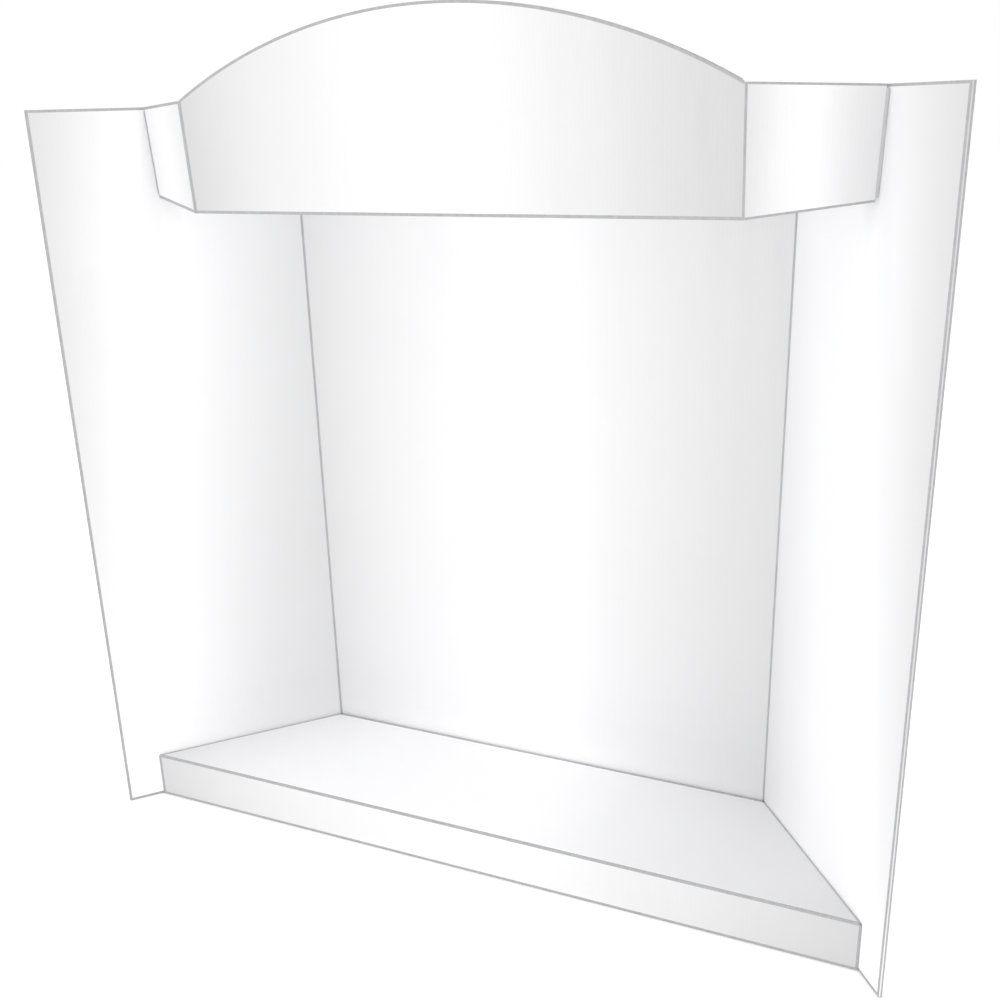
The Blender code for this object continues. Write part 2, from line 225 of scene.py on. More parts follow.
def bump(tree, shader, height, distance):
    node = add(tree, "ShaderNodeBump")
    node.inputs["Strength"].default_value = 1.0
    node.inputs["Distance"].default_value = distance
    tree.links.new(height, node.inputs["Height"])
    tree.links.new(node.outputs[0], shader.inputs["Normal"])


def flute_wave(tree, origin, across):
    """0 over a channel and 1 over a web, once each flute pitch."""
    turns = maths(tree, "DIVIDE", place_along(tree, origin, across), FLUTE_PITCH)
    wave = maths(tree, "COSINE", maths(tree, "MULTIPLY", turns, 2 * math.pi))
    return maths(tree, "MULTIPLY_ADD", wave, 0.5, 0.5)


WHITE = (0.83, 0.83, 0.838)
EDGE_WHITE = (WHITE[0], WHITE[1], WHITE[2] * 1.012)  # what the greys of the edges are shares of
PLASTIC_IOR = 1.49
FOOT_PAINTED_LIGHT = 0.15  # painted light: how much paler the surround is painted just above the tray
# Heights at which that painted light falls: (millimetres up, share of the lift).
FOOT_LIGHT_STOPS = [(0, 1.0), (58, 1.0), (70, 0.87), (90, 0.57), (120, 0.33), (160, 0.23), (200, 0.17),
              (260, 0.07), (340, 0.0), (600, 0.0), (720, 0.13), (864, 0.0)]
PAINTED_EDGE_SHADE = 0.46  # painted shade line along cut edges and creases, grey beside the plain white
PAINTED_VALLEY_SHADE = 0.52  # painted shade line on the wings' crushed creases, which their own valley also shades a little
PAINTED_INNER_SHADE = 0.58  # painted shade line on creases in the corners, set paler since the corners' own shade darkens them


def board_material(name, painted_shade, origin, across, painted_foot_light):
    """White satin polypropylene with painted shade darker towards its creases, and the webs showing faintly
    through.

    The painted shade argument is what shade_along takes after the tree. Painted light makes the foot paler, to
    even out the tray's shade.
    """
    material, tree, shader = node_tree(name)
    shade = shade_along(tree, *painted_shade)
    # Painted light: the foot is painted paler to even out the tray's shade.
    if painted_foot_light:
        share = shade_along(tree, MIDDLE, Z, FOOT_LIGHT_STOPS)
        shade = maths(tree, "MULTIPLY", shade, maths(tree, "MULTIPLY_ADD", share, FOOT_PAINTED_LIGHT, 1.0))
    web = maths(tree, "POWER", flute_wave(tree, origin, across), 10.0)
    streak = span(tree, web, 0.0, 1.0, 1.0, 0.985)
    mottle = span(tree, noise(tree, 9.0, 4.0), 0.3, 0.7, 0.992, 1.0)
    level = maths(tree, "MULTIPLY", maths(tree, "MULTIPLY", shade, streak), mottle)
    paint(tree, shader, level, WHITE)
    scuff = span(tree, noise(tree, 60.0, 5.0, (1.0, 1.0, 0.15)), 0.35, 0.75, 0.36, 0.5)
    tree.links.new(scuff, shader.inputs["Roughness"])
    shader.inputs["IOR"].default_value = PLASTIC_IOR
    grain = maths(tree, "MULTIPLY", noise(tree, 900.0, 2.0), 0.25)
    bump(tree, shader, maths(tree, "ADD", flute_wave(tree, origin, across), grain), 0.03 * MM)
    return material


def edge_material(name, level, streaks):
    """Board pressed by the cutting or creasing rule, painted grey along it as a shade line: rougher and finely
    streaked.
    """
    material, tree, shader = node_tree(name)
    worn = span(tree, noise(tree, 260.0, 4.0, streaks), 0.3, 0.7, 0.93, 1.06)
    paint(tree, shader, maths(tree, "MULTIPLY", worn, level), EDGE_WHITE)
    rough = span(tree, noise(tree, 400.0, 3.0), 0.3, 0.7, 0.5, 0.7)
    tree.links.new(rough, shader.inputs["Roughness"])
    shader.inputs["IOR"].default_value = PLASTIC_IOR
    bump(tree, shader, noise(tree, 700.0, 4.0, streaks), 0.05 * MM)
    return material


def fastener_material(name, fine, colour):
    """White nylon of the coins, mottled at the scale of its hooks or loops."""
    material, tree, shader = node_tree(name)
    level = span(tree, noise(tree, fine, 4.0), 0.3, 0.7, 0.8, 1.0)
    paint(tree, shader, level, colour)
    rough = span(tree, noise(tree, fine, 2.0), 0.3, 0.7, 0.7, 0.95)
    tree.links.new(rough, shader.inputs["Roughness"])
    shader.inputs["Sheen Weight"].default_value = 0.15
    bump(tree, shader, noise(tree, fine * 1.7, 3.0), 0.1 * MM)
    return material


CUT_EDGE = edge_material("cut_edge", PAINTED_EDGE_SHADE, (1.0, 1.0, 1.0))
CREASE_LINE = edge_material("crease_line", PAINTED_EDGE_SHADE, (1.0, 1.0, 0.2))
VALLEY_LINE = edge_material("valley_line", PAINTED_VALLEY_SHADE, (1.0, 1.0, 0.2))
INNER_LINE = edge_material("inner_line", PAINTED_INNER_SHADE, (1.0, 1.0, 0.2))
HOOK = fastener_material("hook_nylon", 1500.0, (0.80, 0.80, 0.79))
LOOP = fastener_material("loop_nylon", 2300.0, (0.84, 0.84, 0.82))


# ---------------------------------------------------------------- twin-wall board


def make_object(name, shape, materials):
    """An object made from a bmesh, with its normals outwards."""
    bmesh.ops.recalc_face_normals(shape, faces=shape.faces)
    mesh = bpy.data.meshes.new(name)
    shape.to_mesh(mesh)
    shape.free()
    for material in materials:
        mesh.materials.append(material)
    made = bpy.data.objects.new(name, mesh)
    bpy.context.scene.collection.objects.link(made)
    return made


class Sheet:
    """A flat board's own axes: u across and v up its visible face, n out of that face."""

    def __init__(self, origin, u, v):
        self.origin = Vector(origin)
        self.u = Vector(u).normalized()
        self.v = Vector(v).normalized()
        self.n = self.u.cross(self.v).normalized()

    def at(self, point, depth=0.0):
        return self.origin + self.u * point[0] + self.v * point[1] - self.n * depth


def inset(outline, distances):
    """A convex outline with each edge moved inwards by its own distance."""
    count = len(outline)
    lines = []
    for i in range(count):
        a, b = Vector(outline[i]), Vector(outline[(i + 1) % count])
        along = (b - a).normalized()
        inward = Vector((-along.y, along.x))
        lines.append((a + inward * distances[i], along))
    moved = []
    for i in range(count):
        (p, d), (q, e) = lines[i - 1], lines[i]
        cross = d.x * e.y - d.y * e.x
        if abs(cross) < 1e-6:
            moved.append(q.copy())
        else:
            step = ((q - p).x * e.y - (q - p).y * e.x) / cross
            moved.append(p + d * step)
    return moved


def chord(outline, point, along):
    """Where a line through a point crosses a convex outline, as two distances, or None."""
    low, high = -10.0, 10.0
    for i, a in enumerate(outline):
        b = outline[(i + 1) % len(outline)]
        edge = (Vector(b) - Vector(a)).normalized()
        inward = Vector((-edge.y, edge.x))
        gap = (point - Vector(a)).dot(inward)
        rate = along.dot(inward)
        if abs(rate) < 1e-9:
            if gap < 0:
                return None
        elif rate > 0:
            low = max(low, -gap / rate)
        else:
            high = min(high, -gap / rate)
    return (low, high) if high - low > 1 * MM else None


def add_liner(shape, sheet, outline, rims, face, back):
    """One skin of the board. face and back are depths; its rim is pressed towards the back. The rim and the skin's
    edges carry the second material, a painted grey shade line.
    """
    sink = RIM_SINK if back > face else -RIM_SINK
    flat = inset(outline, rims)
    rim_flags = [distance > 0 for distance in rims]
    count = len(outline)
    lows = []
    for i in range(count):
        pressed = sink if (rim_flags[i] or rim_flags[i - 1]) else 0.0
        lows.append(shape.verts.new(sheet.at(outline[i], face + pressed)))
    backs = [shape.verts.new(sheet.at(p, back)) for p in outline]
    if any(rim_flags):
        tops = [shape.verts.new(sheet.at(p, face)) for p in flat]
        for i in range(count):
            j = (i + 1) % count
            if (flat[i] - flat[j]).length < 1e-7 and not rim_flags[i]:
                continue
            ring = shape.faces.new((lows[i], lows[j], tops[j], tops[i]))
            ring.material_index = 1 if rim_flags[i] else 0
    else:
        tops = lows
    shape.faces.new(tops)
    shape.faces.new(backs[::-1])
    for i in range(count):
        j = (i + 1) % count
        side = shape.faces.new((backs[i], backs[j], lows[j], lows[i]))
        side.material_index = 1


def add_web(shape, sheet, start, end, front, back):
    """One web between the skins, from start to end."""
    along = (end - start).normalized()
    half = Vector((-along.y, along.x)) * (WEB / 2)
    ring = (start - half, end - half, end + half, start + half)
    near = [shape.verts.new(sheet.at(p, front)) for p in ring]
    far = [shape.verts.new(sheet.at(p, back)) for p in ring]
    shape.faces.new(near)
    shape.faces.new(far[::-1])
    for i in range(4):
        j = (i + 1) % 4
        side = shape.faces.new((far[i], far[j], near[j], near[i]))
        side.material_index = 0


def add_bead(shape, sheet, outline, i):
    """Melted plastic along the back of cut edge i, where a hot knife left it."""
    start, end = Vector(outline[i]), Vector(outline[(i + 1) % len(outline)])
    along = (end - start).normalized()
    inward = Vector((-along.y, along.x)) * BEAD_WIDTH
    ring = (start, end, end + inward, start + inward)
    near = [shape.verts.new(sheet.at(p, BOARD - LINER - BEAD_DEPTH)) for p in ring]
    far = [shape.verts.new(sheet.at(p, BOARD - LINER)) for p in ring]
    faces = [shape.faces.new(near), shape.faces.new(far[::-1])]
    for j in range(4):
        k = (j + 1) % 4
        faces.append(shape.faces.new((far[j], far[k], near[k], near[j])))
    # The bead is painted with the edge grey, a painted shade line.
    for face in faces:
        face.material_index = 1


def fluted_board(name, node, sheet, outline, edges, painted_shade, web_at=None, painted_foot_light=False):
    """A twin-wall board in the place of a CAD node, its flutes running up its face.

    Each edge of the anticlockwise outline is a kind and the width in millimetres of the band
    pressed down and painted grey along it, a painted shade line. The kinds are "cut", "knife" (cut with a bead
    along its back), "mitre" (cut to the tray's slanted corner), "fold" (square end beside a crushed crease) and
    "score" (V cut, so the rear skin is set back by the board's thickness).
    """
    outline = [Vector(p) for p in outline]
    kinds = [kind for kind, _ in edges]
    bands = [width * MM for _, width in edges]
    rims = [RIM if kind in ("cut", "knife", "mitre") else 0.0 for kind in kinds]
    set_back = {
        "score": (BOARD - SCORED_HALF + GAP) * SCORE_LEAN,
        "mitre": BOARD / math.tan(SPLAY) + GAP,
    }
    lean = [set_back.get(kind, 0.0) for kind in kinds]
    rear = inset(outline, lean)
    shape = bmesh.new()
    add_liner(shape, sheet, outline, bands, 0.0, LINER)
    add_liner(shape, sheet, rear, rims, BOARD, BOARD - LINER)
    inner = inset(rear, [WEB_CLEARANCE] * len(rear))
    for i, kind in enumerate(kinds):
        if kind == "knife":
            add_bead(shape, sheet, rear, i)
    left, right = min(p.x for p in rear), max(p.x for p in rear)
    first = left + FLUTE_PITCH / 2
    if web_at is not None:
        first = web_at - FLUTE_PITCH * math.floor((web_at - left) / FLUTE_PITCH)
    along = Vector((0.0, 1.0))
    for k in range(int((right - first) / FLUTE_PITCH) + 1):
        point = Vector((first + k * FLUTE_PITCH, 0.0))
        found = chord(inner, point, along)
        if found:
            start, end = (point + along * reach for reach in found)
            add_web(shape, sheet, start, end, LINER, BOARD - LINER)
    white = board_material(f"{name}_white", painted_shade, sheet.at((first, 0.0)), sheet.u, painted_foot_light)
    board = make_object(name, shape, (white, CUT_EDGE))
    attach(board, body_of(node))
    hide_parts(node)
    pieces[name] = board


def body_of(node):
    bodies = frame["record"]["behaviour"]["bodies"]
    return next(body for body, members in bodies.items() if node in members)


# ---------------------------------------------------------------- creases


def loft(name, profile, start, end, slots, materials):
    """A closed profile swept from start to end; slots gives each side face's material."""
    shape = bmesh.new()
    rings = []
    for point in (start, end):
        rings.append([shape.verts.new(Vector(point) + p) for p in profile])
    count = len(profile)
    for i in range(count):
        j = (i + 1) % count
        face = shape.faces.new((rings[0][i], rings[0][j], rings[1][j], rings[1][i]))
        face.material_index = slots[i]
    shape.faces.new(rings[0][::-1]).material_index = 1
    shape.faces.new(rings[1]).material_index = 1
    return make_object(name, shape, materials)


def crushed_crease(name, node, start, end, towards, normals, bodies, white):
    """A crease pressed in from behind: flush in front but for a shallow line, a valley behind."""
    d_a, d_b = (Vector(v).normalized() for v in towards)
    n_a, n_b = (Vector(v).normalized() for v in normals)
    middle = (n_a + n_b).normalized()
    half, line = CRUSHED_HALF, GROOVE_HALF
    groove_a, groove_b, valley_a, valley_b = (
        [d * (width * share) - n * depth for share, depth in section]
        for width, section in ((line, GROOVE_FRONT), (half, VALLEY_BACK))
        for d, n in ((d_a, n_a), (d_b, n_b))
    )
    profile = [
        d_a * half, d_a * line, *groove_a, -middle * GROOVE_DEPTH, *groove_b[::-1], d_b * line,
        d_b * half, *valley_b, -middle * VALLEY_DEPTH, *valley_a[::-1],
    ]
    # Slot 1 paints the front groove and the valley behind grey, a painted shade line along the crease.
    slots = [0, 1, 1, 1, 1, 0, 0, 0, 1, 1, 1, 1, 0, 0]
    strip = loft(name, profile, start, end, slots, (white, VALLEY_LINE))
    finish_crease(strip, node, bodies)


def scored_crease(
    name, node, start, end, towards, normals, bodies, white, line=SCORED_HALF, roll=0.0,
    grey=CREASE_LINE,
):
    """The one skin left at a V cut, wrapped round the corner, or rolled out past it by a length.

    It is painted grey, a painted shade line, for a length on each side of the corner and white beyond.
    """
    d_a, d_b = (Vector(v).normalized() for v in towards)
    n_a, n_b = (Vector(v).normalized() for v in normals)
    half, soft = SCORED_HALF, CORNER_SOFT
    corner = (n_a + n_b) / (1 + n_a.dot(n_b))
    if roll:
        outer = [
            d_a * half,
            *(d_a * line * share + n_b * roll * rise for share, rise in ROLL_NEAR),
            n_b * roll,
            *(d_b * half * share + n_b * roll * rise for share, rise in ROLL_FAR),
            d_b * half,
        ]
        slots = [0] + [1] * 5
    else:
        bend = [d_a * soft, (d_a + d_b) * soft * CORNER_PULL, d_b * soft]
        outer = [d_a * half, d_a * line, *bend, d_b * line, d_b * half]
        slots = [0] + [1] * 4 + [0]
        if line == half:
            outer, slots = outer[1:-1], slots[1:-1]
    inner = [d_b * half - n_b * LINER, -corner * LINER * 1.2, d_a * half - n_a * LINER]
    strip = loft(name, outer + inner, start, end, slots + [1, 0, 0, 1], (white, grey))
    finish_crease(strip, node, bodies)


def finish_crease(strip, node, bodies):
    """Bake the strip into world place when it lies between two bodies, or tie it to the one body that holds both.
    """
    if len(bodies) == 2:
        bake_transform(strip)
    else:
        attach(strip, bodies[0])
    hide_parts(node)


# ---------------------------------------------------------------- directions shared by the pieces


def wing_run(side):
    """Along a wing, from its crease to its free edge."""
    return Vector((side * math.cos(SPLAY), -math.sin(SPLAY), 0.0))


def wing_face(side):
    """Out of a wing's inner face."""
    return Vector((-side * math.sin(SPLAY), -math.cos(SPLAY), 0.0))


def wing_line(side):
    return Vector((side * HALF_BACK, BACK_Y, 0.0))


def header_low(side):
    """The header's lower corner, where the flap's fold line starts."""
    return Vector((side * HALF_BACK, HEADER_FOOT.y, HEADER_FOOT.z))


def flap_top(side):
    """The flap's top corner at the wing, off its face by the thickness of the coins."""
    along = wing_line(side) + wing_run(side) * FLAP_FOOT
    return along + wing_face(side) * STANDOFF + Z * HEIGHT


def flap_run(side):
    """Along a flap, square to its fold line."""
    run = flap_top(side) - header_low(side)
    return (run - HEADER_UP * run.dot(HEADER_UP)).normalized()


def flap_face(side):
    """Out of a flap's front face."""
    return (flap_run(side) * side).cross(HEADER_UP)


def flap_foot(side):
    """Lower and upper ends of the flap's edge at the wing, and the way up that edge."""
    upward = flap_face(side).cross(wing_face(side)).normalized()
    upward = upward if upward.z > 0 else -upward
    top = flap_top(side)
    return top - upward * (FLAP_DROP / upward.z), top, upward


def tray_half(depth):
    """Half the tray's width at a depth in front of the back panel."""
    return HALF_BACK + depth / math.tan(SPLAY) - TRAY_SIDE_GAP / math.sin(SPLAY)


def standing(origin, run, side, up=Z):
    """A standing board's axes. On the left the board's u axis still points to the right."""
    u = run if side > 0 else -run
    return Sheet(origin, u, up)


def span_of(side, near, far):
    """From near to far along a side's run, as u values in increasing order."""
    return (near, far) if side > 0 else (-far, -near)


def in_sheet(sheet, *points):
    """Points in space as distances along the board's own u and v."""
    away = [point - sheet.origin for point in points]
    return [Vector((p.dot(sheet.u), p.dot(sheet.v))) for p in away]


# Painted shade on each board's white, darker towards its creases and ends: (millimetres along it, share
# of plain white). The left and right halves are shaded separately, as are the bands along their edges below.
EVEN_TONE = [(0, 1.0), (1000, 1.0)]
BACK_PAINTED_SHADE = [(-303, 0.785), (-252, 0.845), (-202, 0.895), (-151, 0.934), (-110, 0.958), (-70, 1.0),
             (30, 1.0), (62, 0.96), (101, 0.907), (151, 0.859), (202, 0.812), (252, 0.769),
             (303, 0.745)]
WING_PAINTED_SHADES = {
    "left": [(0, 0.78), (50, 0.79), (74, 0.803), (108, 0.822), (142, 0.863), (177, 0.911),
             (210, 0.958), (240, 1.0), (302, 1.0), (325, 0.955), (350, 0.885), (385, 0.798),
             (415, 0.735)],
    "right": [(0, 0.80), (25, 0.83), (62, 0.895), (92, 0.93), (120, 0.965), (150, 1.0),
              (180, 1.0), (275, 1.0), (301, 0.937), (321, 0.888), (342, 0.835), (363, 0.797),
              (383, 0.761), (415, 0.72)],
}
WING_SHADE_TILT = 0.13  # the wing's painted shade changes this much with height for its change along
HEADER_PAINTED_SHADE = [(-303, 0.665), (-274, 0.715), (-237, 0.777), (-201, 0.823), (-164, 0.854),
               (-128, 0.886), (-95, 0.91), (-60, 1.0), (35, 1.0), (65, 0.91), (91, 0.886),
               (127, 0.838), (164, 0.807), (200, 0.75), (237, 0.705), (273, 0.665), (303, 0.635)]
FLAP_PAINTED_SHADES = {
    "left": [(0, 0.85), (22, 0.90), (45, 0.955), (65, 1.0), (95, 1.0), (126, 0.95)],
    "right": [(0, 0.775), (16, 0.854), (32, 0.932), (45, 0.965), (55, 1.0), (64, 1.0), (73, 0.96),
              (80, 0.929), (96, 0.866), (112, 0.835), (127, 0.80)],
}
DECK_PAINTED_SHADE = [(-463, 0.775), (-386, 0.875), (-309, 0.945), (-232, 0.99), (-190, 1.0), (60, 1.0),
             (110, 0.965), (154, 0.915), (231, 0.866), (309, 0.818), (386, 0.782), (463, 0.75)]
SKIRT_PAINTED_SHADE = [(-464, 0.705), (-412, 0.738), (-357, 0.794), (-301, 0.84), (-245, 0.872),
              (-189, 0.905), (-133, 0.93), (-95, 0.94), (-60, 1.0), (70, 1.0), (100, 0.94),
              (146, 0.914), (202, 0.862), (258, 0.832), (313, 0.787), (369, 0.741), (425, 0.70),
              (464, 0.675)]


WING_EDGES = {
    "left": (("cut", 3.4), ("fold", 0.0), ("cut", 2.9), ("knife", 3.0)),
    "right": (("cut", 3.9), ("knife", 3.4), ("cut", 2.4), ("fold", 0.0)),
}


def build_surround():
    half = HALF_BACK - CRUSHED_HALF
    fluted_board(
        "back_board", "back_panel", Sheet((0.0, BACK_Y, 0.0), (1, 0, 0), Z),
        [(-half, 0.0), (half, 0.0), (half, HEIGHT), (-half, HEIGHT)],
        (("cut", 2.8), ("fold", 0.0), ("cut", 2.8), ("fold", 0.0)),
        (MIDDLE, RIGHTWARD, BACK_PAINTED_SHADE), painted_foot_light=True,
    )
    for label, side in SIDES:
        low, high = span_of(side, CRUSHED_HALF, WING_WIDTH)
        sheet = standing(wing_line(side), wing_run(side), side)
        fluted_board(
            f"{label}_wing_board", f"{label}_wing_panel", sheet,
            [(low, 0.0), (high, 0.0), (high, HEIGHT), (low, HEIGHT)], WING_EDGES[label],
            (wing_line(side), wing_run(side) + Z * WING_SHADE_TILT, WING_PAINTED_SHADES[label]),
            web_at=side * (WING_WIDTH - EDGE_WEB), painted_foot_light=True,
        )
        line = wing_line(side)
        crushed_crease(
            f"{label}_wing_hinge", f"{label}_wing_crease", line, line + Z * HEIGHT,
            ((-side, 0.0, 0.0), wing_run(side)), ((0.0, -1.0, 0.0), wing_face(side)),
            ("surround", f"{label}_wing"), pieces["back_board"].data.materials[0],
        )


def arch(x):
    """Height of the header's top above its lower edge: an arc through both corners."""
    radius = (HALF_BACK**2 + ARCH_RISE**2) / (2 * ARCH_RISE)
    return HEADER_SIDE + math.sqrt(radius**2 - x**2) - (radius - ARCH_RISE)


def build_header():
    half = HALF_BACK - SCORED_HALF
    curve = [half * (1 - 2 * i / ARCH_STEPS) for i in range(ARCH_STEPS + 1)]
    outline = [(-half, 0.0), (half, 0.0)] + [(x, arch(x)) for x in curve]
    edges = [("cut", 3.1), ("score", 0.0), *[("cut", 2.7)] * ARCH_STEPS, ("score", 1.6)]
    middle = Vector((0.0, HEADER_FOOT.y, HEADER_FOOT.z))
    fluted_board(
        "header_board", "header_panel", Sheet(middle, (1, 0, 0), HEADER_UP), outline, edges,
        (MIDDLE, RIGHTWARD, HEADER_PAINTED_SHADE),
    )
    for label, side in SIDES:
        build_flap(label, side)
        build_flange(label, side)


FLAP_EDGES = {
    "left": (("cut", 3.4), ("score", 1.6), ("cut", 2.8), ("score", 2.4)),
    "right": (("cut", 2.2), ("score", 0.2), ("cut", 1.9), ("score", 0.0)),
}
FOLD_LINES = {"left": 1.5, "right": 1.2}  # half width of the painted grey shade line on the flap's fold
FOOT_LINES = {"left": 1.5, "right": 0.5}  # the same on the flap's edge at the wing


def build_flap(label, side):
    corner, run = header_low(side), flap_run(side)
    low, top, _ = flap_foot(side)
    sheet = standing(corner, run, side, HEADER_UP)
    ends = in_sheet(sheet, corner, low, top, corner + HEADER_UP * HEADER_SIDE)
    if side < 0:
        ends = [ends[1], ends[0], ends[3], ends[2]]
    fluted_board(
        f"{label}_flap_board", f"header_{label}_flap", sheet,
        inset(ends, [0.0, SCORED_HALF, 0.0, SCORED_HALF]), FLAP_EDGES[label],
        (corner, run, FLAP_PAINTED_SHADES[label]),
    )
    scored_crease(
        f"header_{label}_hinge", f"header_{label}_crease", corner, corner + HEADER_UP * HEADER_SIDE,
        ((-side, 0.0, 0.0), run), (HEADER_FACE, flap_face(side)),
        ("header", f"{label}_flap"), pieces["header_board"].data.materials[0],
        line=FOLD_LINES[label] * MM,
    )


def build_flange(label, side):
    low, top, upward = flap_foot(side)
    # The flange's visible face is towards the wing.
    sheet = Sheet(low, upward.cross(-wing_face(side)), upward)
    left, right = span_of(side, SCORED_HALF, FLANGE_LENGTH)
    bottom, crown = FLANGE_MARGIN, (top - low).length - FLANGE_MARGIN
    cut, score = ("cut", 2.8), ("score", 1.2)
    edges = (cut, cut, cut, score) if side > 0 else (cut, score, cut, cut)
    back = sheet.u * side
    fluted_board(
        f"{label}_flange_board", f"{label}_flange", sheet,
        [(left, bottom), (right, bottom), (right, crown), (left, crown)], edges,
        (low, back, EVEN_TONE),
    )
    run = flap_run(side)
    scored_crease(
        f"{label}_flange_fold", f"{label}_flange_crease",
        low + upward * bottom, low + upward * crown,
        (upward * run.dot(upward) - run, back), (flap_face(side), -wing_face(side)),
        (f"{label}_flap",), pieces["header_board"].data.materials[0],
        line=FOOT_LINES[label] * MM, roll=STANDOFF - GAP,
        grey=CREASE_LINE if side < 0 else INNER_LINE,
    )


# ---------------------------------------------------------------- tray


def tray_edges():
    """Each deck edge: its name, its two ends on the deck's top and the way out of the tray."""
    corner = {
        (side, depth): Vector((side * tray_half(depth), BACK_Y - depth, TRAY_HEIGHT))
        for side in (-1, 1)
        for depth in (STANDOFF, TRAY_DEPTH)
    }
    sine, cosine = math.sin(SPLAY), math.cos(SPLAY)
    return (
        ("front", corner[-1, TRAY_DEPTH], corner[1, TRAY_DEPTH], Vector((0.0, -1.0, 0.0))),
        ("rear", corner[1, STANDOFF], corner[-1, STANDOFF], Vector((0.0, 1.0, 0.0))),
        ("left", corner[-1, STANDOFF], corner[-1, TRAY_DEPTH], Vector((-sine, cosine, 0.0))),
        ("right", corner[1, TRAY_DEPTH], corner[1, STANDOFF], Vector((sine, cosine, 0.0))),
    )


def build_deck():
    edges = {name: (start, end) for name, start, end, _ in tray_edges()}
    front_left, front_right = edges["front"]
    rear_right, rear_left = edges["rear"]
    sheet = Sheet((0.0, 0.0, TRAY_HEIGHT), (1, 0, 0), (0, 1, 0))
    full = [(p.x, p.y) for p in (front_left, front_right, rear_right, rear_left)]
    outline = inset([Vector(p) for p in full], [SCORED_HALF] * 4)
    fluted_board(
        "deck_board", "tray_deck", sheet, outline,
        (("score", 1.2), ("score", 0.4), ("score", 1.2), ("score", 1.8)),
        (MIDDLE, RIGHTWARD, DECK_PAINTED_SHADE),
    )


def build_skirts():
    white = pieces["deck_board"].data.materials[0]
    top = TRAY_HEIGHT - SCORED_HALF
    for name, start, end, out in tray_edges():
        along = (end - start).normalized()
        length = (end - start).length
        foot = Vector((start.x, start.y, 0.0))
        # The side skirts stop short of the front and rear ones.
        trim = (BOARD + GAP) / math.sin(SPLAY) if name in ("left", "right") else 0.0
        left_end = "mitre" if name in ("front", "right") else "cut"
        right_end = "mitre" if name in ("front", "left") else "cut"
        fluted_board(
            f"{name}_skirt_board", f"tray_{name}_skirt", Sheet(foot, along, Z),
            [(trim, 0.0), (length - trim, 0.0), (length - trim, top), (trim, top)],
            (("cut", 3.3), (right_end, 2.7), ("score", 1.2), (left_end, 4.0)),
            (MIDDLE, RIGHTWARD, SKIRT_PAINTED_SHADE) if name == "front" else (foot, along, EVEN_TONE),
        )
        bodies = ("tray", "front_skirt") if name == "front" else ("tray",)
        scored_crease(
            f"{name}_skirt_hinge", f"tray_{name}_crease",
            start + along * HINGE_END, end - along * HINGE_END,
            (-out, (0.0, 0.0, -1.0)), ((0.0, 0.0, 1.0), out), bodies, white,
            grey=CREASE_LINE if name == "front" else INNER_LINE,
        )


def build_ears():
    """Glue ears behind the front and rear skirts."""
    inner = (BOARD + GAP) / math.sin(SPLAY)
    places = (("rear", STANDOFF + BOARD + GAP, 1), ("front", TRAY_DEPTH - BOARD - GAP, -1))
    for place, depth, way in places:
        for label, side in SIDES:
            reach = tray_half(depth if way > 0 else depth - BOARD) - inner
            low, high = sorted((side * reach, side * (reach - EAR_LENGTH)))
            left, right = (low, high) if way < 0 else (-high, -low)
            fluted_board(
                f"{place}_{label}_ear_board", f"tray_{place}_{label}_ear",
                Sheet((0.0, BACK_Y - depth, 0.0), RIGHTWARD * -way, Z),
                [(left, BOARD), (right, BOARD), (right, TRAY_HEIGHT - BOARD - GAP),
                 (left, TRAY_HEIGHT - BOARD - GAP)],
                (("cut", 2.8),) * 4, (MIDDLE, RIGHTWARD, EVEN_TONE),
            )


# ---------------------------------------------------------------- hook-and-loop coins


def coin_frame(node):
    """A CAD coin's centre, and the unit normal of its working face."""
    low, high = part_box(node)
    centre = (low + high) / 2
    if node.startswith("back"):
        return centre, Vector((0.0, -1.0, 0.0))
    if node.startswith("tray"):
        return centre, Vector((0.0, 1.0, 0.0))
    side = -1 if node.startswith("left") else 1
    face = wing_face(side)
    return centre, face if "wing" in node else -face


def add_pad(shape, centre, normal, radius, thickness):
    """The coin's backing film, a little narrower at its face."""
    turn = normal.to_track_quat("Z", "Y").to_matrix().to_4x4()
    matrix = Matrix.Translation(centre) @ turn
    bmesh.ops.create_cone(
        shape, cap_ends=True, segments=COIN_SPOKES, radius1=radius, radius2=radius * 0.97,
        depth=thickness, matrix=matrix,
    )


def build_hook_coin(node):
    """Backing film carrying rows of moulded hooks."""
    centre, normal = coin_frame(node)
    film = COIN_THICKNESS * FILM_SHARE
    base = centre - normal * (COIN_THICKNESS - film) / 2
    shape = bmesh.new()
    add_pad(shape, base, normal, COIN_RADIUS, film)
    across = normal.cross(Z).normalized()
    for i in range(-HOOK_ROWS, HOOK_ROWS + 1):
        for j in range(-HOOK_ROWS, HOOK_ROWS + 1):
            u, v = i * HOOK_PITCH, j * HOOK_PITCH
            if math.hypot(u, v) > COIN_RADIUS - HOOK_FREE_EDGE:
                continue
            foot = base + across * u + Z * v + normal * film / 2
            add_hook(shape, foot, normal, across if j % 2 else -across)
    make_coin(f"{node}_nylon", node, shape, HOOK)


def add_hook(shape, foot, normal, lean):
    """A bent stem: up, then over."""
    half = Z * HOOK_HALF
    outline = [
        lean * out * MM + normal * COIN_THICKNESS * HOOK_HEIGHT * up for out, up in HOOK_SECTION
    ]
    one = [shape.verts.new(foot + p - half) for p in outline]
    two = [shape.verts.new(foot + p + half) for p in outline]
    shape.faces.new(one)
    shape.faces.new(two[::-1])
    for i in range(len(outline)):
        j = (i + 1) % len(outline)
        shape.faces.new((one[i], two[i], two[j], one[j]))


